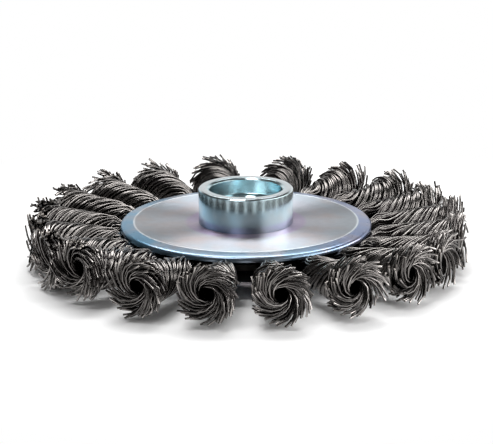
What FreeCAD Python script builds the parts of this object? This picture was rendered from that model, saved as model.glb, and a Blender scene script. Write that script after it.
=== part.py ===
import FreeCAD, Part
import math
import os

# Twisted-knot wire wheel brush for a small angle grinder, in millimetres.
# +Z is the wheel's axis with the collar nut on top. z = 0 is the plane that the resting tufts touch.

# Wheel
wheel_radius = 57.5
knot_count = 20
first_knot_angle = -81.6

# Wire knots: one bundle folded through an eyelet, its two legs twisted together and flared at the ends
ply_radius = 2.15
ply_clearance = 0.06
knot_clearance = 0.3
twist_turns = 1.08
twist_growth = 1.9
twist_steps = 9
twist_lead_in = 0.4
flare_length = 12.0
flare_rounding = 2.5
flare_growth = 1.7
tuft_radius = 7.2
funnel_radius = 5.0
funnel_growth = 2.2
funnel_depth = 0.7
tip_step = 1.2
leg_half_thickness = 1.1
leg_half_width = 2.35
leg_clearance = 0.1
fold_steps = 3

# Core disc that carries the knots in its eyelets
core_outer_radius = 28.2
core_web_thickness = 1.5
core_boss_radius = 14.0
core_boss_slope = 1.0
eyelet_radius = 2.6
eyelet_edge = 1.0

# Pressed side plates
plate_thickness = 1.0
plate_flat_radius = 15.3
crest_overhang = 0.7
crest_clearance = 0.25
dish_depth = 0.4
shoulder_width = 3.6
shoulder_drop = 0.45
rim_bend_radius = 1.0
rim_gap = 4.95
squeeze_clearance = 0.08
squeeze_release = 2.5

# Collar nut with its riveted shank
thread_bore_radius = 5.918
thread_chamfer = 1.0
shank_wall = 3.082
fit_clearance = 0.05
counterbore_radius = 9.4
counterbore_depth = 4.2
mouth_bevel = 0.5
nut_wall = 2.8
nut_height = 9.15
nut_chamfer = 0.4
rivet_overlap = 1.7
rivet_height = 1.2
rivet_chamfer = 0.5

# Radii that follow from the sizes
eyelet_circle_radius = core_outer_radius - eyelet_edge - eyelet_radius
fold_centre_radius = eyelet_circle_radius + eyelet_radius
twist_start_radius = core_outer_radius + twist_lead_in
plate_crest_radius = core_outer_radius + crest_overhang
plate_radius = plate_crest_radius + shoulder_width
rim_inner_radius = plate_radius - plate_thickness
shank_radius = thread_bore_radius + shank_wall
bore_radius = shank_radius + fit_clearance
nut_radius = counterbore_radius + nut_wall
rivet_radius = shank_radius + rivet_overlap
strand_offset = ply_radius + ply_clearance
rope_radius = strand_offset + ply_radius

# Heights that follow from the sizes, from the middle plane up
middle = tuft_radius
leg_height = core_web_thickness / 2 + leg_clearance + leg_half_thickness
plate_crest_height = leg_height + leg_half_thickness + crest_clearance + plate_thickness
plate_flat_height = plate_crest_height - dish_depth
plate_shoulder_height = plate_crest_height - shoulder_drop
boss_height = plate_flat_height - plate_thickness
nut_top_height = plate_flat_height + nut_height

# Lengths along a knot that follow from the sizes
flare_start_radius = wheel_radius - flare_length
flare_full_radius = wheel_radius - flare_rounding

# Outline of one strand: seven points on its outer side, then three that face the other strand
ROUND_ANGLES = (-105, -70, -35, 0, 35, 70, 105, 142, 180, 218)
ARC_ANGLES = (-86, -57, -29, 0, 29, 57, 86)
FUNNEL_ANGLES = (72, 0, -72)

AXIS = FreeCAD.Vector(0, 0, 1)
CENTRE = FreeCAD.Vector(0, 0, 0)


def smooth(value, start, end):
    """Rises from 0 at start to 1 at end along an S-shaped curve."""
    share = min(max((value - start) / (end - start), 0.0), 1.0)
    return share * share * (3 - 2 * share)


def mix(first, second, share):
    """The way from the first number to the second."""
    return first + (second - first) * share


def polar(radius, angle):
    """Point at an angle in degrees."""
    return radius * math.cos(math.radians(angle)), radius * math.sin(math.radians(angle))


def flat_leg():
    """Flattened bundle beside the core disc, as (away from the middle plane, sideways)."""
    points = [polar(1.0, angle) for angle in ROUND_ANGLES]
    return [(leg_height + leg_half_thickness * a, leg_half_width * b) for a, b in points]


def loose_strand(radius):
    """Strand in the rope, as (away from the rope's axis, sideways): round, then half of a spreading ring."""
    spread = smooth(radius, flare_start_radius, flare_full_radius)
    rise = max(radius - flare_start_radius, 0.0) / flare_length
    outer = mix(rope_radius, tuft_radius, rise**flare_growth)
    inner = mix(2 * ply_clearance, funnel_radius, rise**funnel_growth)
    ring = [polar(outer, angle) for angle in ARC_ANGLES] + [polar(inner, angle) for angle in FUNNEL_ANGLES]
    strand = [polar(ply_radius, angle) for angle in ROUND_ANGLES]
    return [
        (mix(strand_offset + a, c, spread), mix(b, d, spread))
        for (a, b), (c, d) in zip(strand, ring)
    ]


def twist(radius):
    """Angle in radians that the rope has turned through, slow at the plates and faster towards the wire ends."""
    share = (radius - twist_start_radius) / (wheel_radius - twist_start_radius)
    return 2 * math.pi * twist_turns * max(share, 0.0) ** twist_growth


def flattening(radius, turn):
    """How far the side plates press the rope flat: 1 where it is free."""
    natural = strand_offset * abs(math.cos(turn)) + ply_radius
    free = smooth(radius, plate_radius + squeeze_clearance, plate_radius + squeeze_release)
    allowed = mix(rim_gap / 2 - squeeze_clearance, rope_radius, free)
    return min(1.0, allowed / natural)


def crowding(radius, outline):
    """How far the knots on either side press an outline narrow: 1 where they leave it room."""
    room = radius * math.tan(math.pi / knot_count) - knot_clearance / 2
    widest = max(abs(aside) for away, aside in outline)
    return min(1.0, room / widest)


def strand_ring(radius, side):
    """Outline of a strand at a distance from the wheel's axis. side is 1 above the core disc and -1 below it."""
    turn = twist(radius)
    loose = smooth(radius, core_outer_radius, rim_inner_radius)
    flat = flattening(radius, turn)
    outline = []
    for (away, aside), (leg_away, leg_aside) in zip(loose_strand(radius), flat_leg()):
        height = flat * (away * math.cos(turn) - aside * math.sin(turn))
        sideways = away * math.sin(turn) + aside * math.cos(turn)
        outline.append((mix(leg_away, height, loose), mix(leg_aside, sideways, loose)))
    narrow = crowding(radius, outline)
    return [
        FreeCAD.Vector(radius, side * narrow * sideways, side * height + middle)
        for height, sideways in outline
    ]


def fold_ring(angle):
    """Outline where the bundle folds around the eyelet's outer edge: 0 degrees above the disc, 180 below it."""
    ring = []
    for away, aside in flat_leg():
        height, inward = polar(away, angle)
        ring.append(FreeCAD.Vector(fold_centre_radius - inward, aside, height + middle))
    return ring


def tuft_ring(side):
    """Outline at the wire ends, trimmed to the wheel's radius: the outer points step in and out, and the funnel
    lies deeper."""
    steps = (0, tip_step) * 3 + (0,) + (funnel_depth,) * 3
    ring = []
    for point, step in zip(strand_ring(wheel_radius, side), steps):
        reach = math.sqrt(wheel_radius**2 - point.y**2) - step
        ring.append(FreeCAD.Vector(reach, point.y, point.z))
    return ring


def strand_facets(side):
    """Facets of one strand from the core disc out to its wire ends, with its innermost outline."""
    last_held = plate_radius + squeeze_clearance
    shares = [(index / twist_steps) ** (1.5 / twist_growth) for index in range(twist_steps)]
    stations = [fold_centre_radius, twist_start_radius, rim_inner_radius - squeeze_clearance]
    stations += [mix(last_held, wheel_radius, share) for share in shares]
    rings = [strand_ring(radius, side) for radius in stations] + [tuft_ring(side)]
    facets = []
    for near, far in zip(rings, rings[1:]):
        for index in range(len(near)):
            after = (index + 1) % len(near)
            if index >= len(ARC_ANGLES):
                facets.append((near[index], near[after], far[after]))
                facets.append((near[index], far[after], far[index]))
            else:
                facets.append((near[index], near[after], far[index]))
                facets.append((near[after], far[after], far[index]))
    a, b, c, d, e, f, g, h, i, j = rings[-1]
    facets += [(a, b, j), (b, c, j), (c, i, j), (c, d, i), (d, e, i), (e, h, i), (e, f, h), (f, g, h)]
    return facets, rings[0]


def fold_facets(upper, lower):
    """Facets of the fold between the innermost outlines of the two strands."""
    turns = [180.0 * index / fold_steps for index in range(1, fold_steps)]
    last_outer = len(ARC_ANGLES) - 1
    mirrored = [lower[(last_outer - index) % len(lower)] for index in range(len(lower))]
    rings = [upper] + [fold_ring(angle) for angle in turns] + [mirrored]
    facets = []
    for near, far in zip(rings, rings[1:]):
        for index in range(len(near)):
            after = (index + 1) % len(near)
            facets.append((near[index], near[after], far[after]))
            facets.append((near[index], far[after], far[index]))
    return facets


def make_knot():
    """One knot along +X, as a closed solid of flat facets."""
    upper_facets, upper = strand_facets(1)
    lower_facets, lower = strand_facets(-1)
    facets = upper_facets + lower_facets + fold_facets(upper, lower)
    skin = Part.Compound([Part.Face(Part.makePolygon([a, b, c, a])) for a, b, c in facets])
    skin.sewShape()
    knot = Part.Solid(skin.Shells[0])
    if knot.Volume < 0:
        knot.reverse()
    return knot


def turned(outline):
    """Solid of revolution about the wheel's axis. The outline is lines through (radius, height) points, and a
    point with a third value is the end of an arc that passes through the point before it."""
    places = [FreeCAD.Vector(point[0], 0, point[1] + middle) for point in outline]
    edges = []
    index = 0
    while index < len(places):
        start = places[index]
        after = outline[(index + 1) % len(outline)]
        if len(after) == 3:
            through = places[(index + 1) % len(places)]
            end = places[(index + 2) % len(places)]
            edges.append(Part.Arc(start, through, end).toShape())
            index += 2
        else:
            edges.append(Part.makeLine(start, places[(index + 1) % len(places)]))
            index += 1
    return Part.Face(Part.Wire(edges)).revolve(CENTRE, AXIS, 360)


def make_core_disc():
    """Disc with a thick boss, bored for the shank, and with one eyelet for each knot."""
    web = core_web_thickness / 2
    foot = core_boss_radius + core_boss_slope
    upper = [(bore_radius, boss_height), (core_boss_radius, boss_height), (foot, web), (core_outer_radius, web)]
    lower = [(radius, -height) for radius, height in upper]
    disc = turned(lower + upper[::-1])
    holes = []
    for index in range(knot_count):
        hole = Part.makeCylinder(
            eyelet_radius,
            3 * core_web_thickness,
            FreeCAD.Vector(eyelet_circle_radius, 0, middle - 1.5 * core_web_thickness),
        )
        hole.rotate(CENTRE, AXIS, first_knot_angle + 360.0 * index / knot_count)
        holes.append(hole)
    return disc.cut(Part.Compound(holes))


def plate_outline():
    """Section of the upper plate: a flat seat, a shallow dish up to the crest, and a turned-down rim."""
    sheet = plate_thickness
    bend = rim_bend_radius
    rim_foot = rim_gap / 2
    diagonal = bend * (1 - math.sqrt(0.5))
    return [
        (bore_radius, plate_flat_height - sheet),
        (plate_flat_radius, plate_flat_height - sheet),
        (plate_crest_radius, plate_crest_height - sheet),
        (rim_inner_radius, plate_shoulder_height - sheet),
        (rim_inner_radius, rim_foot),
        (plate_radius, rim_foot),
        (plate_radius, plate_shoulder_height - bend),
        (plate_radius - diagonal, plate_shoulder_height - diagonal, "arc"),
        (plate_radius - bend, plate_shoulder_height),
        (plate_crest_radius, plate_crest_height),
        (plate_flat_radius, plate_flat_height),
        (bore_radius, plate_flat_height),
    ]


def make_front_plate():
    """Side plate under the collar nut."""
    return turned(plate_outline())


def make_rear_plate():
    """The same pressing on the other side, facing down."""
    plate = turned(plate_outline())
    return plate.mirror(FreeCAD.Vector(0, 0, middle), AXIS)


def make_hub_nut():
    """Collar nut turned in one piece with the shank, whose end is riveted over the rear plate."""
    seat = plate_flat_height
    top = nut_top_height
    ledge = top - counterbore_depth
    mouth = counterbore_radius + mouth_bevel
    foot = -seat - rivet_height
    wide_thread = thread_bore_radius + thread_chamfer
    return turned(
        [
            (thread_bore_radius, foot + thread_chamfer),
            (wide_thread, foot),
            (rivet_radius - rivet_chamfer, foot),
            (rivet_radius, foot + rivet_chamfer),
            (rivet_radius, -seat),
            (shank_radius, -seat),
            (shank_radius, seat),
            (nut_radius, seat),
            (nut_radius, top - nut_chamfer),
            (nut_radius - nut_chamfer, top),
            (mouth, top),
            (counterbore_radius, top - mouth_bevel),
            (counterbore_radius, ledge),
            (wide_thread, ledge),
            (thread_bore_radius, ledge - thread_chamfer),
        ]
    )


def main():
    """Writes each piece to a file of its own."""
    pieces = {
        "hub_nut": make_hub_nut(),
        "front_plate": make_front_plate(),
        "core_disc": make_core_disc(),
        "rear_plate": make_rear_plate(),
    }
    knot = make_knot()
    for index in range(knot_count):
        turned_knot = knot.copy()
        turned_knot.rotate(CENTRE, AXIS, first_knot_angle + 360.0 * index / knot_count)
        pieces[f"knot_{index + 1:02d}"] = turned_knot
    os.makedirs("parts", exist_ok=True)
    for name, shape in pieces.items():
        shape.exportStep(f"parts/{name}.step")


main()
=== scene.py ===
"""Looks of a twisted-knot wire wheel brush for a small angle grinder.

Sizes are in millimetres and are written in metres only where a mesh is made. +Z is the wheel's axis with
the collar nut on top, and z = 0 is the plane that the resting wire ends touch. Angles are in radians, unless
a name ends in degrees.
"""

import logging
import math
import random
from collections.abc import Iterator
from contextlib import contextmanager
from dataclasses import dataclass, field, replace
from enum import Enum, IntEnum

import bpy
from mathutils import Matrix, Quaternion, Vector


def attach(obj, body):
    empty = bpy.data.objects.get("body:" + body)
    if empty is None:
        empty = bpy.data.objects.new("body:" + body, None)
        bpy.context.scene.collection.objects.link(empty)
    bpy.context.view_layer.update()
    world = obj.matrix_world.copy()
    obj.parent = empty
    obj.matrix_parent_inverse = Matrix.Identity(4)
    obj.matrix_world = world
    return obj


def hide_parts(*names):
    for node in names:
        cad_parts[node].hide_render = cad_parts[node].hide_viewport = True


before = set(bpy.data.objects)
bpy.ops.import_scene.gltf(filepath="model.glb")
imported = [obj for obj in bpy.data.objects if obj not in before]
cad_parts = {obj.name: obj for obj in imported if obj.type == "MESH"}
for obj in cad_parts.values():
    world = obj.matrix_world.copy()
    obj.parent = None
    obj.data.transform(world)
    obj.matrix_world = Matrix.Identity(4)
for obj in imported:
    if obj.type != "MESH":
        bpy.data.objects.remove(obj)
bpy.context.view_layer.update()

LOG = logging.getLogger("wire_wheel")
MM = 0.001

Outline = list[tuple[float, float]]


def smooth(value: float, start: float, end: float) -> float:
    """Rises from 0 at start to 1 at end along an S-shaped curve."""
    share = min(max((value - start) / (end - start), 0.0), 1.0)
    return share * share * (3 - 2 * share)


def mix(first: float, second: float, share: float) -> float:
    """Goes a share of the way from the first number to the second."""
    return first + (second - first) * share


def linear(hex_colour: str) -> tuple[float, float, float, float]:
    """Turns an sRGB hex colour to linear.

    Args:
        hex_colour: Six hex digits after a hash sign.

    Returns:
        Linear red, green and blue, with an alpha of 1.
    """
    channels = [int(hex_colour[i : i + 2], 16) / 255 for i in (1, 3, 5)]
    curved = [c / 12.92 if c <= 0.04045 else ((c + 0.055) / 1.055) ** 2.4 for c in channels]
    return (*curved, 1.0)


def add_node(
    tree: bpy.types.NodeTree, kind: str, inputs: dict[str | int, object] | None = None, **settings: object
) -> bpy.types.Node:
    """Adds one node with its settings, values and links.

    Args:
        tree: Node tree of a material or of the world.
        kind: Name of the node's type, without the ShaderNode that it starts with.
        inputs: A value or an output socket for each named input.
        settings: Properties of the node itself.

    Returns:
        The new node.
    """
    node = tree.nodes.new("ShaderNode" + kind)
    for key, value in settings.items():
        setattr(node, key, value)
    for key, value in (inputs or {}).items():
        if isinstance(value, bpy.types.NodeSocket):
            tree.links.new(value, node.inputs[key])
        else:
            node.inputs[key].default_value = value
    return node


@dataclass(frozen=True)
class Sizes:
    """Driving sizes of the wheel, the same as those of the solids.

    The plates' heights are above the middle plane.
    """

    wheel_radius: float = 57.5
    knot_count: int = 20
    first_knot_degrees: float = -81.6
    middle: float = 7.2
    core_radius: float = 28.2
    fold_radius: float = 27.2
    plate_crest_radius: float = 28.9
    plate_radius: float = 32.5
    plate_thickness: float = 1.0
    flat_radius: float = 15.3
    flat_height: float = 3.9
    crest_height: float = 4.3
    shoulder_height: float = 3.85
    rim_foot: float = 2.475
    bore_radius: float = 9.05
    shank_radius: float = 9.0
    thread_radius: float = 5.918


SIZES = Sizes()


class Workbench:
    """Modelling steps that several pieces share."""

    doubles_gap = 1e-6
    crease_degrees = 28.0

    @staticmethod
    def clear_selection() -> None:
        """Leaves object mode with nothing selected."""
        if bpy.context.mode != "OBJECT":
            bpy.ops.object.mode_set(mode="OBJECT")
        bpy.ops.object.select_all(action="DESELECT")

    @staticmethod
    @contextmanager
    def editing() -> Iterator[None]:
        """Opens the active mesh for editing with all of it selected, and closes it again."""
        bpy.ops.object.mode_set(mode="EDIT")
        bpy.ops.mesh.select_all(action="SELECT")
        yield
        bpy.ops.object.mode_set(mode="OBJECT")

    @staticmethod
    def rounded(corners: list[tuple[float, float, float]], steps: int = 5) -> Outline:
        """Rounds the corners of a closed outline.

        Args:
            corners: Points as (radius, height, fillet radius).
            steps: Segments in each rounding.

        Returns:
            The outline's points as (radius, height).
        """
        points = []
        for index, corner in enumerate(corners):
            here = Vector(corner[:2])
            fillet = corner[2]
            back = (Vector(corners[index - 1][:2]) - here).normalized()
            ahead = (Vector(corners[(index + 1) % len(corners)][:2]) - here).normalized()
            half = back.angle(ahead) / 2
            reach = fillet / math.tan(half)
            centre = here + (back + ahead).normalized() * fillet / math.sin(half)
            start = here + back * reach - centre
            end = here + ahead * reach - centre
            sweep = start.angle(end)
            for step in range(steps + 1):
                share = step / steps
                spoke = start * math.sin((1 - share) * sweep) + end * math.sin(share * sweep)
                spot = centre + spoke / math.sin(sweep)
                points.append((spot.x, spot.y))
        return points

    @classmethod
    def turned(cls, name: str, outline: Outline, sides: int) -> bpy.types.Object:
        """Turns a closed outline about the wheel's axis, ring by ring.

        Args:
            name: Name of the piece.
            outline: Points as (radius, height above the resting plane).
            sides: Segments around the axis.

        Returns:
            The turned piece with its normals outward.
        """
        cls.clear_selection()
        radius, height = outline[0]
        bpy.ops.mesh.primitive_circle_add(
            vertices=sides, radius=radius * MM, fill_type="NOTHING", location=(0, 0, height * MM)
        )
        piece = bpy.context.object
        bpy.ops.object.transform_apply(location=True)
        with cls.editing():
            for next_radius, next_height in outline[1:] + outline[:1]:
                bpy.ops.mesh.extrude_region_move(
                    TRANSFORM_OT_translate={"value": (0, 0, (next_height - height) * MM)}
                )
                scale = next_radius / radius
                bpy.ops.transform.resize(value=(scale, scale, 1), center_override=(0, 0, next_height * MM))
                radius, height = next_radius, next_height
            bpy.ops.mesh.select_all(action="SELECT")
            bpy.ops.mesh.remove_doubles(threshold=cls.doubles_gap)
            bpy.ops.mesh.normals_make_consistent(inside=False)
        cls.name(piece, name)
        bpy.ops.object.shade_smooth_by_angle(angle=math.radians(cls.crease_degrees))
        return piece

    @staticmethod
    def name(piece: bpy.types.Object, name: str) -> None:
        """Gives a piece and its mesh the same name."""
        piece.name = name
        piece.data.name = name

    @staticmethod
    def finish(piece: bpy.types.Object, node: str, slot: str, materials: list[bpy.types.Material]) -> None:
        """Dresses a piece, attaches it to the root body, hides the solid that it stands for, and reports it.

        Args:
            piece: The new piece, with the number of its material on each face.
            node: Node of the solid.
            slot: Slot of the record that gives the finish; not used.
            materials: Materials of the piece in order.
        """
        faces = piece.data.polygons
        chosen = [face.material_index for face in faces]
        piece.data.materials.clear()
        for material in materials:
            piece.data.materials.append(material)
        faces.foreach_set("material_index", chosen)
        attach(piece, "root")
        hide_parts(node)
        LOG.info("%s: %d faces", piece.name, len(faces))


@dataclass(frozen=True)
class Finish:
    """Surface of a metal, drawn by nodes on object coordinates."""

    name: str

    def paint(self, tree: bpy.types.NodeTree, shader: bpy.types.Node) -> None:
        """Adds the finish's own nodes and values to a new material."""
        raise NotImplementedError

    def make(self) -> bpy.types.Material:
        """Builds the material.

        Returns:
            The new material, a metal with the finish's nodes.
        """
        material = bpy.data.materials.new(self.name)
        material.use_nodes = True
        shader = material.node_tree.nodes["Principled BSDF"]
        shader.inputs["Metallic"].default_value = 1.0
        self.paint(material.node_tree, shader)
        return material


@dataclass(frozen=True)
class ZincPlating(Finish):
    """Bright zinc plating with a blue passivate film.

    To the eye, fine turning marks spread its shine into a fan, and the thin film drifts from blue to rose
    in rings and clouds. The film's rings lie inside the seat, in the dish, on the slope, and outside the
    crest.
    The bright line on the crest is a painted highlight along the bend. Outside the crest the colour drifts
    along X and towards -Y; on the nut this drift is painted reflection. The plating's grain is drawn at
    0.35 mm, much coarser than it is, so that it shows. The turning marks are finer still, and the shader's
    anisotropy stands for them.
    """

    seat: str
    dish: str
    slope: str
    crest: str
    edge: str
    edge_far: str
    edge_near: str
    rose: str
    roughness: float
    anisotropy: float
    marks_turn: float = 0.25
    seat_mm: float = 15.3
    crest_mm: float = 28.9
    ramp_mm: float = 40.0
    seat_fade_mm: tuple[float, float] = (0.4, 0.8)
    dish_end: float = 0.4
    slope_start: float = 0.75
    line_mm: float = 0.1
    line_fade_mm: float = 0.35
    far_drift_mm: float = 25.0
    near_drift_mm: tuple[float, float] = (-18.0, -28.0)
    cloud_mm: float = 10.0
    cloud_span: tuple[float, float] = (0.45, 0.7)
    cloud_strength: float = 0.7
    ripple_mm: float = 1.6
    ripple_span: tuple[float, float] = (0.3, 0.7)
    matt_span: tuple[float, float] = (0.9, 1.12)
    grain_mm: float = 0.35
    grain_share: float = 0.4
    bump_strength: float = 0.03
    bump_mm: float = 0.03

    def axis_distance(self, tree: bpy.types.NodeTree, place: bpy.types.NodeSocket) -> bpy.types.NodeSocket:
        """Measures from the wheel's axis.

        Args:
            tree: Node tree of the material.
            place: Object coordinates.

        Returns:
            The distance in metres.
        """
        flat = add_node(tree, "VectorMath", {0: place, 1: (1, 1, 0)}, operation="MULTIPLY")
        distance = add_node(tree, "VectorMath", {0: flat.outputs[0]}, operation="LENGTH")
        return distance.outputs["Value"]

    def inner_colour(
        self, tree: bpy.types.NodeTree, distance: bpy.types.NodeSocket
    ) -> bpy.types.NodeSocket:
        """Gives the film's colour from the axis out to the crest, where a pale line is a painted highlight.

        Args:
            tree: Node tree of the material.
            distance: Distance from the axis in metres.

        Returns:
            The colour.
        """
        share = add_node(tree, "MapRange", {
            "Value": distance, "From Min": 0.0, "From Max": self.ramp_mm * MM,
        })
        ramp = add_node(tree, "ValToRGB", {"Fac": share.outputs["Result"]})
        rings = (
            (self.seat_mm - self.seat_fade_mm[0], self.seat),
            (self.seat_mm + self.seat_fade_mm[1], self.dish),
            (mix(self.seat_mm, self.crest_mm, self.dish_end), self.dish),
            (mix(self.seat_mm, self.crest_mm, self.slope_start), self.slope),
            (self.crest_mm - self.line_fade_mm, self.slope),
            # The pale crest colour is a painted highlight along the bend.
            (self.crest_mm - self.line_mm, self.crest),
            (self.crest_mm + self.line_mm, self.crest),
        )
        stops = ramp.color_ramp.elements
        for stop, (ring_mm, colour) in zip(stops, rings):
            stop.position = ring_mm / self.ramp_mm
            stop.color = linear(colour)
        for ring_mm, colour in rings[len(stops) :]:
            stops.new(ring_mm / self.ramp_mm).color = linear(colour)
        return ramp.outputs["Color"]

    def outer_colour(self, tree: bpy.types.NodeTree, place: bpy.types.NodeSocket) -> bpy.types.NodeSocket:
        """Gives the colour outside the crest, which drifts along X and towards -Y. On the plates it is the
        film's colour; on the nut's wall the drift is painted reflection, dark on the left and near white on
        the right.

        Args:
            tree: Node tree of the material.
            place: Object coordinates.

        Returns:
            The colour.
        """
        across = add_node(tree, "SeparateXYZ", {0: place})
        far = add_node(tree, "MapRange", {
            "Value": across.outputs["X"],
            "From Min": -self.far_drift_mm * MM,
            "From Max": self.far_drift_mm * MM,
        })
        sides = add_node(tree, "Mix", {
            0: far.outputs["Result"], 6: linear(self.edge), 7: linear(self.edge_far),
        }, data_type="RGBA")
        near = add_node(tree, "MapRange", {
            "Value": across.outputs["Y"],
            "From Min": self.near_drift_mm[0] * MM,
            "From Max": self.near_drift_mm[1] * MM,
        })
        outer = add_node(tree, "Mix", {
            0: near.outputs["Result"], 6: sides.outputs[2], 7: linear(self.edge_near),
        }, data_type="RGBA")
        return outer.outputs[2]

    def film_colour(self, tree: bpy.types.NodeTree, place: bpy.types.NodeSocket) -> bpy.types.NodeSocket:
        """Gives the film's colour in rings, with the painted highlight on the crest and the painted
        reflection on the nut, and rose clouds over them.

        Args:
            tree: Node tree of the material.
            place: Object coordinates.

        Returns:
            The colour.
        """
        distance = self.axis_distance(tree, place)
        outside = add_node(tree, "MapRange", {
            "Value": distance,
            "From Min": (self.crest_mm + self.line_mm) * MM,
            "From Max": (self.crest_mm + self.line_fade_mm) * MM,
        })
        rings = add_node(tree, "Mix", {
            0: outside.outputs["Result"],
            6: self.inner_colour(tree, distance),
            7: self.outer_colour(tree, place),
        }, data_type="RGBA")
        cloud = add_node(tree, "TexNoise", {
            "Vector": place, "Scale": 1 / (self.cloud_mm * MM), "Detail": 3.0, "Roughness": 0.55,
        })
        rosy = add_node(tree, "MapRange", {
            "Value": cloud.outputs["Fac"],
            "From Min": self.cloud_span[0],
            "From Max": self.cloud_span[1],
            "To Max": self.cloud_strength,
        })
        film = add_node(tree, "Mix", {
            0: rosy.outputs["Result"], 6: rings.outputs[2], 7: linear(self.rose),
        }, data_type="RGBA")
        return film.outputs[2]

    def paint(self, tree: bpy.types.NodeTree, shader: bpy.types.Node) -> None:
        """Adds the film's colour with its painted highlight and painted reflection, the uneven gloss, the
        grain and the turning marks.

        Args:
            tree: Node tree of the material.
            shader: Its shader.
        """
        place = add_node(tree, "TexCoord").outputs["Object"]
        tree.links.new(self.film_colour(tree, place), shader.inputs["Base Color"])
        ripple = add_node(tree, "TexNoise", {
            "Vector": place, "Scale": 1 / (self.ripple_mm * MM), "Detail": 4.0, "Roughness": 0.6,
        })
        matt = add_node(tree, "MapRange", {
            "Value": ripple.outputs["Fac"],
            "From Min": self.ripple_span[0],
            "From Max": self.ripple_span[1],
            "To Min": self.roughness * self.matt_span[0],
            "To Max": self.roughness * self.matt_span[1],
        })
        tree.links.new(matt.outputs["Result"], shader.inputs["Roughness"])
        grain = add_node(tree, "TexNoise", {
            "Vector": place, "Scale": 1 / (self.grain_mm * MM), "Detail": 2.0,
        })
        height = add_node(tree, "Mix", {
            0: self.grain_share, 2: ripple.outputs["Fac"], 3: grain.outputs["Fac"],
        })
        bump = add_node(tree, "Bump", {
            "Strength": self.bump_strength, "Distance": self.bump_mm * MM, "Height": height.outputs[0],
        })
        tree.links.new(bump.outputs["Normal"], shader.inputs["Normal"])
        if self.anisotropy:
            marks = add_node(tree, "Tangent", direction_type="RADIAL", axis="Z")
            tree.links.new(marks.outputs["Tangent"], shader.inputs["Tangent"])
            shader.inputs["Anisotropic"].default_value = self.anisotropy
            shader.inputs["Anisotropic Rotation"].default_value = self.marks_turn


@dataclass(frozen=True)
class TemperedWire(Finish):
    """Oil-tempered steel wire.

    To the eye, it has a dark warm grey scale. A thin bright line along each wire is a painted highlight,
    and the darker wires deep in the rope are painted shade. Both come from the tone attribute of the knots'
    meshes.
    """

    dark: str
    light: str
    roughness: float
    stain_mm: float = 3.0
    stain_share: float = 0.15
    stain_span: tuple[float, float] = (0.3, 0.7)
    matt_span: tuple[float, float] = (0.85, 1.2)

    def paint(self, tree: bpy.types.NodeTree, shader: bpy.types.Node) -> None:
        """Adds the painted highlight lines and painted shade, and stains that change the colour and the
        gloss.

        Args:
            tree: Node tree of the material.
            shader: Its shader.
        """
        place = add_node(tree, "TexCoord").outputs["Object"]
        tone = add_node(tree, "Attribute", attribute_name="tone", attribute_type="GEOMETRY")
        stain = add_node(tree, "TexNoise", {
            "Vector": place, "Scale": 1 / (self.stain_mm * MM), "Detail": 3.0,
        })
        highlight_level = add_node(tree, "Mix", {
            0: self.stain_share, 2: tone.outputs["Fac"], 3: stain.outputs["Fac"],
        })
        # Painted highlight and shade: the tone attribute mixes the dark scale towards the light colour.
        colour = add_node(tree, "Mix", {
            0: highlight_level.outputs[0], 6: linear(self.dark), 7: linear(self.light),
        }, data_type="RGBA")
        tree.links.new(colour.outputs[2], shader.inputs["Base Color"])
        matt = add_node(tree, "MapRange", {
            "Value": stain.outputs["Fac"],
            "From Min": self.stain_span[0],
            "From Max": self.stain_span[1],
            "To Min": self.roughness * self.matt_span[0],
            "To Max": self.roughness * self.matt_span[1],
        })
        tree.links.new(matt.outputs["Result"], shader.inputs["Roughness"])


@dataclass(frozen=True)
class BareSteel(Finish):
    """Bare steel, sheared or rolled. To the eye, it is a grey metal with a faint mottle."""

    dark: str
    light: str
    roughness: float
    mottle_mm: float
    mottle_span: tuple[float, float] = (0.35, 0.65)

    def paint(self, tree: bpy.types.NodeTree, shader: bpy.types.Node) -> None:
        """Adds the mottle.

        Args:
            tree: Node tree of the material.
            shader: Its shader.
        """
        place = add_node(tree, "TexCoord").outputs["Object"]
        mottle = add_node(tree, "TexNoise", {
            "Vector": place, "Scale": 1 / (self.mottle_mm * MM), "Detail": 4.0,
        })
        tint = add_node(tree, "ValToRGB", {"Fac": mottle.outputs["Fac"]})
        stops = zip(tint.color_ramp.elements, self.mottle_span, (self.dark, self.light))
        for stop, position, colour in stops:
            stop.position = position
            stop.color = linear(colour)
        tree.links.new(tint.outputs["Color"], shader.inputs["Base Color"])
        shader.inputs["Roughness"].default_value = self.roughness


class Face(Enum):
    """Side of the wheel that a pressed plate covers."""

    FRONT = 1
    REAR = -1


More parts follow.
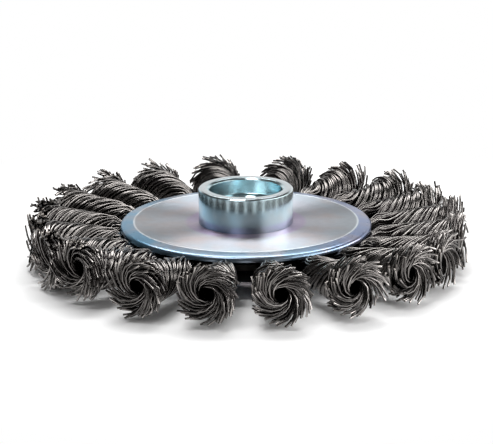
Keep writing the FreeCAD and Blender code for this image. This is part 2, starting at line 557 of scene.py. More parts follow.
@dataclass
class SidePlates:
    """The two pressed plates that clamp the knots."""

    plates: tuple[tuple[Face, str, str], ...] = (
        (Face.FRONT, "front_side_plate", "front_plate"),
        (Face.REAR, "rear_side_plate", "rear_plate"),
    )
    sides: int = 256
    bore_fillet: float = 0.1
    seat_fillet: float = 3.0
    crest_fillet: float = 1.6
    shoulder_fillet: float = 1.0
    inner_shoulder_fillet: float = 0.12
    edge_fillet: float = 0.25

    def outline(self, face: Face) -> Outline:
        """Gives the section of one plate.

        Args:
            face: Side of the wheel.

        Returns:
            Points as (radius, height above the resting plane).
        """
        s = SIZES
        sheet = s.plate_thickness
        corners = [
            (s.bore_radius, s.flat_height - sheet, self.bore_fillet),
            (s.flat_radius, s.flat_height - sheet, self.seat_fillet + sheet),
            (s.plate_crest_radius, s.crest_height - sheet, self.crest_fillet - sheet / 2),
            (s.plate_radius - sheet, s.shoulder_height - sheet, self.inner_shoulder_fillet),
            (s.plate_radius - sheet, s.rim_foot, self.edge_fillet),
            (s.plate_radius, s.rim_foot, self.edge_fillet),
            (s.plate_radius, s.shoulder_height, self.shoulder_fillet),
            (s.plate_crest_radius, s.crest_height, self.crest_fillet),
            (s.flat_radius, s.flat_height, self.seat_fillet),
            (s.bore_radius, s.flat_height, self.bore_fillet),
        ]
        points = Workbench.rounded(corners)
        return [(radius, s.middle + face.value * height) for radius, height in points]

    def build(self, dish_finish: bpy.types.Material, rim_finish: bpy.types.Material) -> None:
        """Makes and dresses both plates.

        Args:
            dish_finish: Turned zinc finish inside the crest.
            rim_finish: Smooth zinc finish outside the crest.
        """
        for face, name, node in self.plates:
            plate = Workbench.turned(name, self.outline(face), self.sides)
            for polygon in plate.data.polygons:
                radius = Vector(polygon.center[:2]).length / MM
                polygon.material_index = int(radius > SIZES.plate_crest_radius)
            Workbench.finish(plate, node, "zinc_plate", [dish_finish, rim_finish])


@dataclass
class CollarNut:
    """Turned collar nut with its riveted shank and its spindle thread.

    Heights are above the middle plane.
    """

    node: str = "hub_nut"
    sides: int = 192
    corner_steps: int = 3
    foot_height: float = -5.1
    rivet_radius: float = 10.7
    rivet_chamfer: float = 0.5
    nut_radius: float = 12.2
    nut_top: float = 13.05
    nut_chamfer: float = 0.4
    counterbore_radius: float = 9.4
    counterbore_foot: float = 8.85
    mouth_bevel: float = 0.5
    shank_fillet: float = 0.02
    rivet_seat_fillet: float = 0.05
    bore_fillet: float = 0.06
    mouth_fillet: float = 0.12
    nut_fillet: float = 0.15
    rivet_fillet: float = 0.25
    ledge_fillet: float = 0.25
    thread_root: float = 7.05
    thread_pitch: float = 2.0
    thread_chamfer: float = 1.0
    thread_wall: float = 0.12
    thread_sides: int = 64
    thread_trim: float = 0.02
    mouth_overlap: float = 0.15
    thread_crease_degrees: float = 25.0

    def body_outline(self) -> Outline:
        """Gives the section of the nut, with a plain bore behind the thread.

        Returns:
            Points as (radius, height above the resting plane).
        """
        s = SIZES
        bore = self.thread_root + self.thread_wall
        seat = s.flat_height
        corners = [
            (bore, self.foot_height, self.bore_fillet),
            (self.rivet_radius - self.rivet_chamfer, self.foot_height, self.rivet_fillet),
            (self.rivet_radius, self.foot_height + self.rivet_chamfer, self.rivet_fillet),
            (self.rivet_radius, -seat, self.rivet_seat_fillet),
            (s.shank_radius, -seat, self.shank_fillet),
            (s.shank_radius, seat, self.shank_fillet),
            (self.nut_radius, seat, self.nut_fillet),
            (self.nut_radius, self.nut_top - self.nut_chamfer, self.nut_fillet),
            (self.nut_radius - self.nut_chamfer, self.nut_top, self.nut_fillet),
            (self.counterbore_radius + self.mouth_bevel, self.nut_top, self.mouth_fillet),
            (self.counterbore_radius, self.nut_top - self.mouth_bevel, self.mouth_fillet),
            (self.counterbore_radius, self.counterbore_foot, self.ledge_fillet),
            (bore, self.counterbore_foot, self.bore_fillet),
        ]
        points = Workbench.rounded(corners, self.corner_steps)
        return [(radius, s.middle + height) for radius, height in points]

    def thread_profile(self) -> Outline:
        """Gives one turn of the thread, with flats at its root and its crest.

        Returns:
            Points as (radius, height above the turn's foot).
        """
        pitch = self.thread_pitch
        root = self.thread_root
        crest = SIZES.thread_radius
        return [
            (root, 0.0),
            (root, pitch * 1 / 8),
            (crest, pitch * 3 / 8),
            (crest, pitch * 5 / 8),
            (root, pitch * 7 / 8),
            (root, pitch),
        ]

    def screw_thread(self, foot: float, top: float) -> bpy.types.Object:
        """Draws the thread's profile and screws it up the bore, past both mouths.

        Args:
            foot: Height of the lower mouth above the resting plane.
            top: Height of the upper mouth above the resting plane.

        Returns:
            The thread's skin.
        """
        profile = self.thread_profile()
        Workbench.clear_selection()
        bpy.ops.mesh.primitive_circle_add(vertices=3, radius=MM, fill_type="NOTHING")
        thread = bpy.context.object
        with Workbench.editing():
            bpy.ops.mesh.merge(type="CENTER")
            start = Vector((profile[0][0] * MM, 0, (foot - self.thread_pitch) * MM))
            bpy.ops.transform.translate(value=start)
            for before, after in zip(profile, profile[1:]):
                step = ((after[0] - before[0]) * MM, 0, (after[1] - before[1]) * MM)
                bpy.ops.mesh.extrude_region_move(TRANSFORM_OT_translate={"value": step})
        screw = thread.modifiers.new("thread", "SCREW")
        screw.axis = "Z"
        screw.angle = math.tau
        screw.screw_offset = self.thread_pitch * MM
        screw.iterations = math.ceil((top - foot) / self.thread_pitch) + 1
        screw.steps = self.thread_sides
        screw.render_steps = self.thread_sides
        screw.use_merge_vertices = True
        screw.merge_threshold = Workbench.doubles_gap
        bpy.ops.object.modifier_apply(modifier=screw.name)
        return thread

    def open_mouths(self, thread: bpy.types.Object, foot: float, top: float) -> None:
        """Widens the thread's skin to a cone at both mouths, and keeps it inside the bore's wall.

        Args:
            thread: The thread's skin.
            foot: Height of the lower mouth above the resting plane.
            top: Height of the upper mouth above the resting plane.
        """
        widest = self.thread_root + self.thread_wall
        mouth = SIZES.thread_radius + self.thread_chamfer + self.thread_wall + self.mouth_overlap
        for vertex in thread.data.vertices:
            spot = vertex.co
            depth = min(top - spot.z / MM, spot.z / MM - foot)
            radius = Vector((spot.x, spot.y)).length / MM
            opened = min(max(radius, mouth - depth), widest)
            spot.x *= opened / radius
            spot.y *= opened / radius

    def build_thread(self) -> bpy.types.Object:
        """Makes the thread's flanks as a screw-shaped skin that lines the bore.

        Returns:
            The thread, joined to the bore at both mouths.
        """
        top = SIZES.middle + self.counterbore_foot
        foot = SIZES.middle + self.foot_height
        thread = self.screw_thread(foot, top)
        with Workbench.editing():
            bpy.ops.mesh.remove_doubles(threshold=Workbench.doubles_gap)
            for height, outward in ((top - self.thread_trim, 1), (foot + self.thread_trim, -1)):
                bpy.ops.mesh.select_all(action="SELECT")
                bpy.ops.mesh.bisect(
                    plane_co=(0, 0, height * MM),
                    plane_no=(0, 0, outward),
                    clear_outer=True,
                    clear_inner=False,
                )
        self.open_mouths(thread, foot, top)
        Workbench.name(thread, "spindle_thread")
        with Workbench.editing():
            bpy.ops.mesh.normals_make_consistent(inside=False)
        faces = thread.data.polygons
        if sum(face.normal.dot(Vector((face.center.x, face.center.y, 0))) for face in faces) > 0:
            thread.data.flip_normals()
        bpy.ops.object.shade_smooth_by_angle(angle=math.radians(self.thread_crease_degrees))
        return thread

    def build(self, finish: bpy.types.Material) -> None:
        """Makes and dresses the nut and its thread.

        Args:
            finish: Zinc finish of the nut.
        """
        nut = Workbench.turned("collar_nut", self.body_outline(), self.sides)
        Workbench.finish(nut, self.node, "zinc_nut", [finish])
        thread = self.build_thread()
        Workbench.finish(thread, self.node, "zinc_nut", [finish])


@dataclass
class CoreDisc:
    """Disc between the plates, kept as the CAD has it: only its edge shows, between the knots."""

    node: str = "core_disc"

    def build(self, finish: bpy.types.Material) -> None:
        """Gives the disc its finish and reports it.

        Args:
            finish: Rolled steel finish, near black as painted shade in the gap between the plates.
        """
        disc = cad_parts[self.node]
        for slot in disc.material_slots:
            slot.material = finish
        LOG.info("%s: %d faces", disc.name, len(disc.data.polygons))


class Leg(IntEnum):
    """Half of a folded wire: the one above the core disc or the one below it."""

    ABOVE = 1
    BELOW = -1

    @property
    def end(self) -> int:
        """Gives the place of the leg's values in the pairs that a wire holds."""
        return 0 if self is Leg.ABOVE else 1


@dataclass(frozen=True)
class Wire:
    """One wire of a knot, folded in the middle, with both of its ends in the same tuft.

    Attributes:
        away: Place in its strand, away from the knot's axis, from -1 to 1.
        aside: Place across its strand, from -1 to 1.
        tone: How bright its painted highlight is, drawn at random.
        sway: How far it strays from its place in the rope, both ways across.
        end_radii: How far from the knot's axis each end reaches.
        end_cut: How much sooner than its neighbours each end leaves the twist.
        lead: How far each end runs ahead of its place around the tuft.
    """

    away: float
    aside: float
    tone: float
    sway: tuple[float, float]
    end_radii: tuple[float, float]
    end_cut: tuple[float, float]
    lead: tuple[float, float]


@dataclass(frozen=True)
class Knot:
    """What sets one knot apart from the others.

    Attributes:
        turn: How far its rope is turned.
        phase: Where around the tuft its locks of wire lie.
        lean: How far the wheel's outer end of its axis stands to the side.
        rise: How far the wheel's outer end of its axis stands above the middle plane.
        reach: How much further out than the others it goes.
        rise_power: How late along the knot the rise comes.
    """

    turn: float
    phase: float
    lean: float
    rise: float
    reach: float
    rise_power: float = 1.3

    def bend(self, radius: float) -> tuple[float, float]:
        """Gives how far the knot's axis has moved at a distance from the wheel's axis.

        Args:
            radius: Distance from the wheel's axis.

        Returns:
            The moves to the side and up.
        """
        s = SIZES
        share = max(radius - s.plate_radius, 0.0) / (s.wheel_radius - s.plate_radius)
        return self.lean * share, self.rise * share**self.rise_power


@dataclass(frozen=True)
class Ring:
    """One section of a wire.

    Attributes:
        centre: Its middle in metres.
        crowns: The two directions that its painted highlight faces there.
        tone: How bright its painted highlight is there.
    """

    centre: Vector
    crowns: list[Vector]
    tone: float


@dataclass
class WireKnots:
    """Twenty bundles of wire, each folded through the core disc and twisted into a knot."""

    seed: int = 41

    # The wires, and the segments along each part of one.
    wires: int = 53
    wire_radius: float = 0.268
    wire_sides: int = 6
    fold_steps: int = 4
    twist_steps: int = 17
    twist_step_power: float = 0.75
    tip_steps: int = 5
    crease_degrees: float = 75.0
    doubles_gap: float = 1e-7

    # The two strands between the plates.
    ply_radius: float = 2.15
    strand_offset: float = 2.21
    leg_height: float = 1.95
    leg_half_thickness: float = 1.1
    leg_half_width: float = 2.35
    leg_fill_height: float = 0.75
    leg_fill_width: float = 0.88
    held_height: float = 2.395
    plate_gap: float = 0.08
    floor_gap: float = 0.02

    # The twist, the same as that of the solids up to where the tuft curls.
    twist_turns: float = 1.08
    twist_growth: float = 1.9
    twist_start: float = 28.6
    twist_probe: float = 0.01
    curl_start: float = 48.0
    curl_length: float = 7.5
    curl_turn: float = 2.4

    # The rope outside the plates, where both strands merge around a hollow.
    loose_radius: float = 35.0
    neighbour_room: float = 0.15
    merge_start: float = 32.5
    merge_full: float = 39.0
    rope_start: float = 35.0
    rope_radius: float = 4.1
    rope_wall: float = 1.9
    strand_half_degrees: float = 87.0
    flare_radius: float = 5.6
    flare_power: float = 1.3
    flare_limit: float = 1.2
    hole_radius: float = 2.0
    hole_start: float = 47.0
    hole_full: float = 54.0

    # The tuft, where the wires spring free.
    inner_release: float = 55.0
    outer_release: float = 51.2
    release_bend: float = 1.25
    curl: float = 1.05
    least_run: float = 0.4
    tip_radius: float = 7.3
    widest_tip: float = 7.6
    stray_share: float = 0.02
    stray_reach: tuple[float, float] = (0.7, 2.0)
    tuft_groups: int = 9
    tuft_pull: float = 0.6

    # What differs from wire to wire.
    tip_scatter: tuple[float, float] = (-0.25, 0.45)
    cut_scatter: float = 0.5
    sway_scatter: float = 0.07
    lead_scatter: float = 0.09
    dullest_wire: float = 0.5

    # What differs from knot to knot. Bent knots have a lean and a rise of their own.
    turn_scatter: float = 0.35
    lean_scatter: float = 0.3
    reach_scatter: float = 0.2
    spread: float = 1.9
    rise_front: float = 1.4
    rise_side: float = 0.9
    short_side: float = 1.2
    bent_knots: dict[int, tuple[float, float]] = field(
        default_factory=lambda: {
            2: (1.2, 0.0),
            3: (1.5, 0.2),
            8: (-1.5, 0.0),
            9: (-2.2, 0.0),
            10: (-2.2, 0.0),
            18: (-2.6, 1.0),
        }
    )

    # Painted highlight along each wire on the dark scale; painted shade deep in the rope, painted light in
    # the tuft.
    crown_tilt: float = 1.2
    highlight_start: float = 0.4
    highlight_full: float = 1.0
    scale_tone: float = 0.02
    deep_tone: float = 0.03
    rope_tone: float = 0.54
    surface_ranks: tuple[float, float] = (0.3, 0.85)
    back_highlight: float = 0.35
    tip_tone: float = 0.15
    tip_fade: float = 0.8

    def bearing(self, number: int) -> float:
        """Gives the angle at which a knot stands on the wheel."""
        return math.radians(SIZES.first_knot_degrees + 360.0 * (number - 1) / SIZES.knot_count)

    def twist(self, radius: float) -> float:
        """Gives the angle that the rope has turned through, slow at the plates and fastest at the tuft.

        Args:
            radius: Distance from the wheel's axis.

        Returns:
            The angle.
        """
        share = (radius - self.twist_start) / (SIZES.wheel_radius - self.twist_start)
        curl = max(radius - self.curl_start, 0.0) / self.curl_length
        return math.tau * self.twist_turns * max(share, 0.0) ** self.twist_growth + self.curl_turn * curl**3

    def twist_rate(self, radius: float) -> float:
        """Gives the twist for each millimetre along the knot."""
        probe = self.twist_probe
        return (self.twist(radius + probe) - self.twist(radius - probe)) / (2 * probe)

    def flattening(self, radius: float, turn: float) -> float:
        """Gives how far the side plates press the rope flat.

        Args:
            radius: Distance from the wheel's axis.
            turn: The angle that the rope has turned through there.

        Returns:
            Share of the rope's own height, 1 where it is free.
        """
        natural = self.strand_offset * abs(math.cos(turn)) + self.ply_radius
        free = smooth(radius, SIZES.plate_radius, self.loose_radius)
        allowed = mix(self.held_height, self.strand_offset + self.ply_radius, free)
        return min(1.0, allowed / natural)

    def crowding(self, radius: float, aside: float) -> float:
        """Gives how far the neighbours press the rope narrow: 1 where they leave it room."""
        room = radius * math.tan(math.pi / SIZES.knot_count) - self.neighbour_room
        return min(1.0, room / aside)

    def ring_distance(self, rank: float, radius: float) -> float:
        """Gives a wire's distance from the knot's axis in the merged rope.

        Args:
            rank: 0 for the innermost wire of its strand and 1 for the outermost.
            radius: Distance from the wheel's axis.

        Returns:
            Distance in millimetres.
        """
        swell = max(radius - self.rope_start, 0.0) / (self.outer_release - self.rope_start)
        flare = min(swell, self.flare_limit) ** self.flare_power
        outer = mix(self.rope_radius, self.flare_radius, flare)
        opened = smooth(radius, self.hole_start, self.hole_full)
        inner = mix(outer - self.rope_wall, self.hole_radius, opened)
        return mix(inner, outer, rank)

    def rope_point(self, wire: Wire, radius: float, leg: Leg) -> tuple[float, float]:
        """Places a wire in the twisted rope, seen along the knot's axis.

        Args:
            wire: The wire.
            radius: Distance from the wheel's axis.
            leg: The wire's leg.

        Returns:
            Distance from the knot's axis and angle from its strand's middle.
        """
        away = wire.away
        aside = wire.aside * leg
        inner = self.ply_radius - self.wire_radius
        sway = smooth(radius, SIZES.plate_radius, SIZES.wheel_radius)
        chord = math.sqrt(max(1 - away * away, 1e-4))
        around = math.radians(self.strand_half_degrees) * max(-1.0, min(1.0, aside / chord))
        ring = self.ring_distance(self.rank(away), radius)
        share = smooth(radius, self.merge_start, self.merge_full)
        merged_x = ring * math.cos(around)
        merged_y = ring * math.sin(around)
        x = mix(self.strand_offset + inner * away, merged_x, share) + wire.sway[0] * sway
        y = mix(inner * aside, merged_y, share) + wire.sway[1] * sway
        return math.hypot(x, y), math.atan2(y, x)

    @staticmethod
    def rank(away: float) -> float:
        """Gives the share of a strand's wires that lie nearer the knot's axis."""
        return 0.5 + (math.asin(away) + away * math.sqrt(max(1 - away * away, 0.0))) / math.pi

    def leg_level(self, wire: Wire) -> float:
        """Gives a wire's distance from the middle plane where it lies between the plates."""
        return self.leg_height + self.leg_half_thickness * self.leg_fill_height * wire.away

    def held_point(self, wire: Wire, radius: float, leg: Leg, knot: Knot) -> tuple[float, float]:
        """Places a wire in the cross-section of its knot where it is still held in the twist.

        Args:
            wire: The wire.
            radius: Distance from the wheel's axis.
            leg: The wire's leg.
            knot: The knot.

        Returns:
            Sideways place and height above the middle plane.
        """
        s = SIZES
        distance, angle = self.rope_point(wire, radius, leg)
        turn = self.twist(radius) + knot.turn * smooth(radius, s.plate_radius, self.hole_full)
        loose = smooth(radius, s.core_radius, s.plate_radius - s.plate_thickness)
        height = self.flattening(radius, turn) * distance * math.cos(angle + turn)
        sideways = distance * math.sin(angle + turn)
        height = mix(self.leg_level(wire), height, loose)
        sideways = mix(self.leg_half_width * self.leg_fill_width * wire.aside * leg, sideways, loose)
        widest = mix(self.leg_half_width, self.strand_offset + self.ply_radius, loose)
        narrow = self.crowding(radius, widest)
        return leg * narrow * sideways, leg * height

    def release(self, wire: Wire, leg: Leg, knot: Knot) -> float:
        """Gives where along the knot a leg of a wire leaves the twist, the inner wires last."""
        place = mix(self.inner_release, self.outer_release, self.rank(wire.away))
        return place - wire.end_cut[leg.end] + knot.reach

    def free_end(self, wire: Wire, leg: Leg, knot: Knot) -> list[tuple[float, float, float]]:
        """Lets a wire spring out of the twist along its own direction, over the tuft's face to its end.

        Args:
            wire: The wire.
            leg: The wire's leg.
            knot: The knot.

        Returns:
            Distance from the wheel's axis, sideways place and height of each point.
        """
        start = self.release(wire, leg, knot)
        distance, angle = self.rope_point(wire, start, leg)
        angle += self.twist(start) + knot.turn
        reach = max(wire.end_radii[leg.end], distance + self.least_run)
        run = math.sqrt(reach * reach - distance * distance)
        rise = run / (self.twist_rate(start) * distance * self.release_bend)
        points = []
        for step in range(1, self.tip_steps + 1):
            share = step / self.tip_steps
            travel = run * share
            out = math.hypot(distance, travel)
            spin = angle + math.atan2(travel, distance) + self.curl * math.log(out / distance)
            spin += wire.lead[leg.end] * share**2
            pull = self.tuft_pull / self.tuft_groups * share**2
            spin += pull * math.sin(self.tuft_groups * spin + knot.phase)
            radius = start + rise * (1 - (1 - share) ** self.release_bend)
            points.append((radius, leg * out * math.sin(spin), leg * out * math.cos(spin)))
        return points

    def leg_path(self, wire: Wire, leg: Leg, knot: Knot) -> list[Vector]:
        """Gives the points of one leg of a wire, from its fold to its end.

        Args:
            wire: The wire.
            leg: The wire's leg.
            knot: The knot.

        Returns:
            Points in millimetres, for a knot along +X.
        """
        s = SIZES
        last = self.release(wire, leg, knot)
        stations = [s.fold_radius, self.twist_start, s.plate_radius - s.plate_thickness - self.plate_gap]
        first = s.plate_radius + self.plate_gap
        for step in range(self.twist_steps + 1):
            stations.append(mix(first, last, (step / self.twist_steps) ** self.twist_step_power))
        places = [(radius, *self.held_point(wire, radius, leg, knot)) for radius in stations]
        places += self.free_end(wire, leg, knot)
        points = []
        for radius, sideways, height in places:
            lean, rise = knot.bend(radius)
            level = max(s.middle + height + rise, self.wire_radius + self.floor_gap)
            points.append(Vector((radius, sideways + lean, level)))
        return points

    def wire_path(self, wire: Wire, knot: Knot) -> list[Vector]:
        """Gives the points of a wire from one end, round the eyelet, to its other end.

        Args:
            wire: The wire.
            knot: The knot.

        Returns:
            Points in millimetres, for a knot along +X.
        """
        s = SIZES
        above = self.leg_path(wire, Leg.ABOVE, knot)
        below = self.leg_path(wire, Leg.BELOW, knot)
        away = self.leg_level(wire)
        fold = []
        for step in range(1, self.fold_steps):
            angle = math.pi * step / self.fold_steps
            level = s.middle + away * math.cos(angle)
            fold.append(Vector((s.fold_radius - away * math.sin(angle), above[0].y, level)))
        return above[::-1] + fold + below

    def make_wires(self, source: random.Random) -> list[Wire]:
        """Packs the wires of one strand like the seeds of a sunflower.

        Args:
            source: Seeded random source.

        Returns:
            The wires of one knot.
        """
        golden = math.pi * (3 - math.sqrt(5))
        spin = source.uniform(0, math.tau)
        wires = []
        for index in range(self.wires):
            reach = math.sqrt((index + 0.5) / self.wires)
            angle = index * golden + spin
            radii = [min(self.tip_radius + source.gauss(*self.tip_scatter), self.widest_tip) for leg in Leg]
            if source.random() < self.stray_share:
                radii[source.randrange(2)] += source.uniform(*self.stray_reach)
            cuts = [abs(source.gauss(0, self.cut_scatter)) for leg in Leg]
            wires.append(
                Wire(
                    away=reach * math.cos(angle),
                    aside=reach * math.sin(angle),
                    tone=mix(self.dullest_wire, 1.0, source.random()),
                    sway=(source.gauss(0, self.sway_scatter), source.gauss(0, self.sway_scatter)),
                    end_radii=(radii[0], radii[1]),
                    end_cut=(cuts[0], cuts[1]),
                    lead=(source.gauss(0, self.lead_scatter), source.gauss(0, self.lead_scatter)),
                )
            )
        return wires

    def plan_knot(self, number: int, source: random.Random) -> Knot:
        """Draws what sets one knot apart, and spreads the knots as the wheel's wear has.

        Args:
            number: Place of the knot on the wheel, from 1.
            source: Seeded random source.

        Returns:
            The knot.
        """
        bearing = self.bearing(number)
        lean, rise = self.bent_knots.get(number, (0.0, 0.0))
        turn = source.uniform(-self.turn_scatter, self.turn_scatter)
        phase = source.uniform(0, math.tau)
        stray_lean = source.uniform(-self.lean_scatter, self.lean_scatter)
        stray_reach = source.uniform(-self.reach_scatter, self.reach_scatter)
        return Knot(
            turn=turn,
            phase=phase,
            lean=stray_lean - self.spread * math.sin(2 * bearing) + lean,
            rise=self.rise_side - (self.rise_front - self.rise_side) * math.sin(bearing) + rise,
            reach=stray_reach - self.short_side * (1 - math.cos(bearing)) / 2,
        )

    def draw_wire(self, curve: bpy.types.Curve, wire: Wire, knot: Knot, placing: Quaternion) -> list[Ring]:
        """Adds one wire to the knot's curve.

        Args:
            curve: The knot's curve.
            wire: The wire.
            knot: The knot.
            placing: Turn from +X to the knot's bearing.

        Returns:
            The wire's sections in order.
        """
        path = self.wire_path(wire, knot)
        spline = curve.splines.new("POLY")
        spline.points.add(len(path) - 1)
        flat = []
        rings = []
        for index, spot in enumerate(path):
            placed = Vector(spot)
            placed.rotate(placing)
            flat += [*(placed * MM), 1.0]
            crowns = self.crowns(spot, knot)
            for crown in crowns:
                crown.rotate(placing)
            from_end = min(index, len(path) - 1 - index) / self.tip_steps
            rings.append(Ring(placed * MM, crowns, self.tone(wire, spot.x, from_end)))
        spline.points.foreach_set("co", flat)
        return rings

    def make_knot(self, number: int) -> bpy.types.Object:
        """Makes the wires of one knot as round sections along their paths.

        Args:
            number: Place of the knot on the wheel, from 1.

        Returns:
            The knot as one mesh.
        """
        source = random.Random(self.seed + number)
        knot = self.plan_knot(number, source)
        placing = Quaternion((0, 0, 1), self.bearing(number))
        curve = bpy.data.curves.new(f"knot_wires_{number:02d}", "CURVE")
        curve.dimensions = "3D"
        curve.bevel_depth = self.wire_radius * MM
        curve.bevel_resolution = (self.wire_sides - 4) // 2
        curve.use_fill_caps = True
        rings = []
        for wire in self.make_wires(source):
            rings += self.draw_wire(curve, wire, knot, placing)
        piece = bpy.data.objects.new(curve.name, curve)
        bpy.context.scene.collection.objects.link(piece)
        Workbench.clear_selection()
        piece.select_set(True)
        bpy.context.view_layer.objects.active = piece
        bpy.ops.object.convert(target="MESH")
        piece = bpy.context.object
        Workbench.name(piece, f"knot_wires_{number:02d}")
        self.mark_wires(piece, rings)
        return piece

    def tone(self, wire: Wire, radius: float, from_end: float) -> float:
        """Gives how bright a wire's painted highlight is: painted shade deep inside the rope, painted light
        brightest in the tuft, and darker towards its own end.

        Args:
            wire: The wire.
            radius: Distance from the wheel's axis.
            from_end: Way back from the wire's end, where 1 is the whole of its free part.

        Returns:
            The tone from 0 to 1.
        """
        # Painted shade on the wires deep inside the rope.
        rope = mix(self.deep_tone, self.rope_tone, smooth(self.rank(wire.away), *self.surface_ranks))
        # Painted light: the tuft is painted brighter than the rope.
        tuft_lightened = mix(rope, 1.0, smooth(radius, self.hole_start, self.hole_full))
        return wire.tone * tuft_lightened * mix(self.tip_tone, 1.0, smooth(from_end, 0.0, self.tip_fade))

    def crowns(self, spot: Vector, knot: Knot) -> list[Vector]:
        """Gives the directions that a wire's painted highlight faces: away from the rope, or to both faces
        of the tuft.

        Args:
            spot: Point of the wire, for a knot along +X.
            knot: The knot.

        Returns:
            Two unit vectors.
        """
        lean, rise = knot.bend(spot.x)
        away = (spot - Vector((spot.x, lean, SIZES.middle + rise))).normalized()
        opened = self.crown_tilt * smooth(spot.x, self.hole_start, self.hole_full)
        return [(away + Vector((tilt, 0, 0))).normalized() for tilt in (opened, -opened)]

    def mark_wires(self, piece: bpy.types.Object, rings: list[Ring]) -> None:
        """Gives each wire its tone, a painted highlight along the side that faces its crowns over the dark
        scale, and its sheared ends their own material.

        The curve's conversion puts the vertices of all the end caps before those of the wires.

        Args:
            piece: The knot's mesh.
            rings: The sections of its wires in order.
        """
        mesh = piece.data
        caps = len(mesh.vertices) - self.wire_sides * len(rings)
        tones = [1.0] * caps
        for index, vertex in enumerate(mesh.vertices[caps:]):
            ring = rings[index // self.wire_sides]
            outward = (vertex.co - ring.centre).normalized()
            # Painted highlight where the surface faces a crown.
            highlight_level, behind = (
                smooth(outward.dot(crown), self.highlight_start, self.highlight_full) for crown in ring.crowns
            )
            tones.append(mix(self.scale_tone, ring.tone, max(highlight_level, self.back_highlight * behind)))
        mesh.attributes.new("tone", "FLOAT", "POINT").data.foreach_set("value", tones)
        cut = [int(len(face.vertices) != 4) for face in mesh.polygons]
        mesh.polygons.foreach_set("material_index", cut)
        with Workbench.editing():
            bpy.ops.mesh.remove_doubles(threshold=self.doubles_gap)
        bpy.ops.object.shade_smooth_by_angle(angle=math.radians(self.crease_degrees))

    def build(self, wire_finish: bpy.types.Material, cut_finish: bpy.types.Material) -> None:
        """Makes and dresses all the knots.

        Args:
            wire_finish: Finish of the wires.
            cut_finish: Finish of their sheared ends.
        """
        for number in range(1, SIZES.knot_count + 1):
            piece = self.make_knot(number)
            Workbench.finish(piece, f"knot_{number:02d}", "wire", [wire_finish, cut_finish])


@dataclass(frozen=True)
class Lamp:
    """Soft rectangular lamp. Its place and size are in millimetres and its power is in watts."""

    name: str
    place: tuple[float, float, float]
    size: tuple[float, float]
    power: float

    def hang(self, aim: Vector) -> None:
        """Adds the lamp to the scene.

        Args:
            aim: Point that it faces, in millimetres.
        """
        place = Vector(self.place)
        data = bpy.data.lights.new(self.name, "AREA")
        data.shape = "RECTANGLE"
        data.size = self.size[0] * MM
        data.size_y = self.size[1] * MM
        data.energy = self.power
        lamp = bpy.data.objects.new(self.name, data)
        lamp.location = place * MM
        lamp.rotation_euler = (aim - place).to_track_quat("-Z", "Y").to_euler()
        bpy.context.scene.collection.objects.link(lamp)


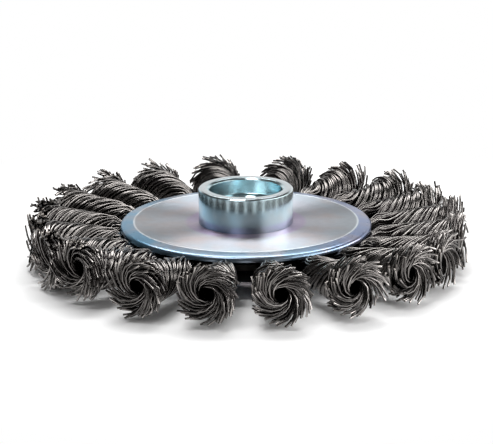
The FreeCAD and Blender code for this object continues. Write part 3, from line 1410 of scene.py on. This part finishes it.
@dataclass
class Studio:
    """Pale floor, soft lamps and the camera.

    The room is white for the camera. Metal mirrors a pale sweep on the bright side, up to a low height, and
    a dim room everywhere else.
    """

    target: tuple[float, float, float] = (0.16, 0.0, 10.94)
    distance: float = 560.0
    elevation_degrees: float = 15.91
    yaw_degrees: float = -0.14
    roll_degrees: float = 0.27
    lens: float = 158.0
    sensor: float = 36.0
    clip_start: float = 50.0
    floor_half: float = 3000.0
    paper: str = "#f6f6f6"
    paper_roughness: float = 0.9
    paper_specular: float = 0.1
    shadow_reach: float = 130.0
    shadow_fade: float = 0.6
    bright_side: tuple[float, float, float] = (0.82, 0.57, 0.0)
    bright_span: tuple[float, float] = (-0.3, 0.15)
    sweep_top: float = 0.36
    sweep_fade: float = 0.12
    dim_room: float = 0.09
    fill_light: float = 0.3
    aim: tuple[float, float, float] = (0.0, 0.0, 8.0)
    lamps: tuple[Lamp, ...] = (
        Lamp("overhead", (-20, 340, 580), (700, 300), 5.2),
        Lamp("left_side", (-150, -170, 620), (200, 200), 1.1),
        Lamp("right_side", (420, -180, 480), (260, 200), 0.4),
        Lamp("right_card", (450, -90, 130), (780, 160), 2.4),
    )

    def paint_floor(self) -> bpy.types.Material:
        """Builds white paper that keeps the wheel's shadow and is plain white further out.

        Returns:
            The floor's material.
        """
        material = bpy.data.materials.new("white_paper_sweep")
        material.use_nodes = True
        tree = material.node_tree
        shader = tree.nodes["Principled BSDF"]
        shader.inputs["Base Color"].default_value = linear(self.paper)
        shader.inputs["Roughness"].default_value = self.paper_roughness
        shader.inputs["Specular IOR Level"].default_value = self.paper_specular
        place = add_node(tree, "TexCoord").outputs["Object"]
        distance = add_node(tree, "VectorMath", {0: place}, operation="LENGTH")
        far = add_node(tree, "MapRange", {
            "Value": distance.outputs["Value"],
            "From Min": self.shadow_fade * self.shadow_reach * MM,
            "From Max": self.shadow_reach * MM,
        }, interpolation_type="SMOOTHSTEP")
        path = add_node(tree, "LightPath")
        opaque = add_node(tree, "Math", {
            0: path.outputs["Is Camera Ray"], 1: path.outputs["Is Glossy Ray"],
        }, operation="ADD")
        seen = add_node(tree, "Math", {
            0: opaque.outputs[0], 1: path.outputs["Is Transmission Ray"],
        }, operation="ADD", use_clamp=True)
        white = add_node(tree, "Math", {0: far.outputs["Result"], 1: seen.outputs[0]}, operation="MULTIPLY")
        glow = add_node(tree, "Emission", {"Color": (1, 1, 1, 1), "Strength": 1.0})
        blend = add_node(tree, "MixShader", {0: white.outputs[0], 1: shader.outputs[0], 2: glow.outputs[0]})
        tree.links.new(blend.outputs[0], tree.nodes["Material Output"].inputs["Surface"])
        return material

    def build_floor(self) -> None:
        """Makes the pale floor that the wheel rests on."""
        Workbench.clear_selection()
        bpy.ops.mesh.primitive_plane_add(size=2 * self.floor_half * MM)
        floor = bpy.context.object
        Workbench.name(floor, "floor")
        with Workbench.editing():
            bpy.ops.mesh.subdivide(number_cuts=1)
        floor.data.materials.append(self.paint_floor())

    def mirrored_room(self, tree: bpy.types.NodeTree) -> bpy.types.NodeSocket:
        """Gives the brightness that metal mirrors: a pale sweep on one side of a dim room.

        Args:
            tree: Node tree of the world.

        Returns:
            The brightness.
        """
        coordinates = add_node(tree, "TexCoord")
        direction = add_node(tree, "SeparateXYZ", {0: coordinates.outputs["Generated"]})
        towards = add_node(tree, "VectorMath", {
            0: coordinates.outputs["Generated"], 1: self.bright_side,
        }, operation="DOT_PRODUCT")
        bright = add_node(tree, "MapRange", {
            "Value": towards.outputs["Value"],
            "From Min": self.bright_span[0],
            "From Max": self.bright_span[1],
        }, interpolation_type="SMOOTHSTEP")
        low = add_node(tree, "MapRange", {
            "Value": direction.outputs["Z"],
            "From Min": self.sweep_top - self.sweep_fade,
            "From Max": self.sweep_top + self.sweep_fade,
            "To Min": 1.0,
            "To Max": 0.0,
        }, interpolation_type="SMOOTHSTEP")
        sweep = add_node(tree, "Math", {
            0: bright.outputs["Result"], 1: low.outputs["Result"],
        }, operation="MULTIPLY")
        mirrored = add_node(tree, "MapRange", {
            "Value": sweep.outputs[0], "To Min": self.dim_room, "To Max": 1.0,
        })
        return mirrored.outputs["Result"]

    def build_world(self) -> None:
        """Lights the scene evenly, shows white behind it, and lets metal mirror the room."""
        world = bpy.data.worlds.new("white_studio")
        bpy.context.scene.world = world
        world.use_nodes = True
        tree = world.node_tree
        tree.nodes.clear()
        path = add_node(tree, "LightPath")
        room = add_node(tree, "Mix", {
            0: path.outputs["Is Glossy Ray"], 2: self.fill_light, 3: self.mirrored_room(tree),
        })
        clear = add_node(tree, "Math", {
            0: path.outputs["Is Camera Ray"], 1: path.outputs["Is Transmission Ray"],
        }, operation="MAXIMUM")
        strength = add_node(tree, "Mix", {0: clear.outputs[0], 2: room.outputs[0], 3: 1.0})
        light = add_node(tree, "Background", {"Color": (1, 1, 1, 1), "Strength": strength.outputs[0]})
        add_node(tree, "OutputWorld", {"Surface": light.outputs[0]})

    def build_lamps(self) -> None:
        """Hangs a large lamp over the wheel, a small one at each side and a low card on the right."""
        for lamp in self.lamps:
            lamp.hang(Vector(self.aim))

    def build_camera(self) -> None:
        """Sets the camera at the photograph's angle."""
        data = bpy.data.cameras.new("camera")
        data.lens = self.lens
        data.sensor_width = self.sensor
        data.clip_start = self.clip_start * MM
        camera = bpy.data.objects.new("camera", data)
        up = math.radians(self.elevation_degrees)
        yaw = math.radians(self.yaw_degrees)
        offset = Vector((math.sin(yaw) * math.cos(up), -math.cos(yaw) * math.cos(up), math.sin(up)))
        target = Vector(self.target)
        place = target + offset * self.distance
        facing = (target - place).to_track_quat("-Z", "Y")
        roll = Quaternion((0, 0, 1), -math.radians(self.roll_degrees))
        camera.rotation_mode = "QUATERNION"
        camera.rotation_quaternion = facing @ roll
        camera.location = place * MM
        bpy.context.scene.collection.objects.link(camera)
        bpy.context.scene.camera = camera

    def build(self) -> None:
        """Sets up floor, world, lamps, camera and colour handling."""
        self.build_floor()
        self.build_world()
        self.build_lamps()
        self.build_camera()
        bpy.context.scene.view_settings.view_transform = "Standard"


PLATE_ZINC = ZincPlating(
    name="zinc_plated_pressing",
    seat="#a89cb6",
    dish="#a8abb3",
    slope="#a0a8b0",
    # crest is a painted highlight along the bend of the crest.
    crest="#dde6ec",
    edge="#6c98b4",
    edge_far="#8795b6",
    edge_near="#778da0",
    rose="#aca09e",
    roughness=0.42,
    anisotropy=0.85,
)
RIM_ZINC = replace(PLATE_ZINC, name="zinc_plated_pressed_rim", roughness=0.3, anisotropy=0.0)
NUT_ZINC = ZincPlating(
    name="zinc_plated_turned_steel",
    seat="#bcd4da",
    dish="#c8d0d4",
    slope="#c8d0d4",
    crest="#c8d0d4",
    # edge and edge_far are painted reflection on the nut's wall: dark teal on the left, near white on the
    # right.
    edge="#4591ae",
    edge_far="#e8f0ec",
    edge_near="#9cc3d1",
    rose="#bccbd0",
    roughness=0.2,
    anisotropy=0.0,
    seat_mm=9.9,
    crest_mm=11.8,
)
# light is the colour of the painted highlight along each wire; dark is its scale.
WIRE_STEEL = TemperedWire(name="oil_tempered_steel_wire", dark="#121110", light="#ccc6c2", roughness=0.22)
CUT_STEEL = BareSteel(
    name="sheared_wire_end", dark="#4a4541", light="#8f8a85", roughness=0.45, mottle_mm=0.4
)
# Near black as painted shade: the core's edge sits deep between the plates.
CORE_STEEL = BareSteel(
    name="core_steel_painted_shade", dark="#242220", light="#34312f", roughness=0.5, mottle_mm=2.0
)


def main() -> None:
    """Builds the sub-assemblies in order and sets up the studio."""
    logging.basicConfig(level=logging.INFO, format="%(name)s: %(message)s")
    SidePlates().build(PLATE_ZINC.make(), RIM_ZINC.make())
    CollarNut().build(NUT_ZINC.make())
    WireKnots().build(WIRE_STEEL.make(), CUT_STEEL.make())
    CoreDisc().build(CORE_STEEL.make())
    Studio().build()


if __name__ == "__main__":
    main()
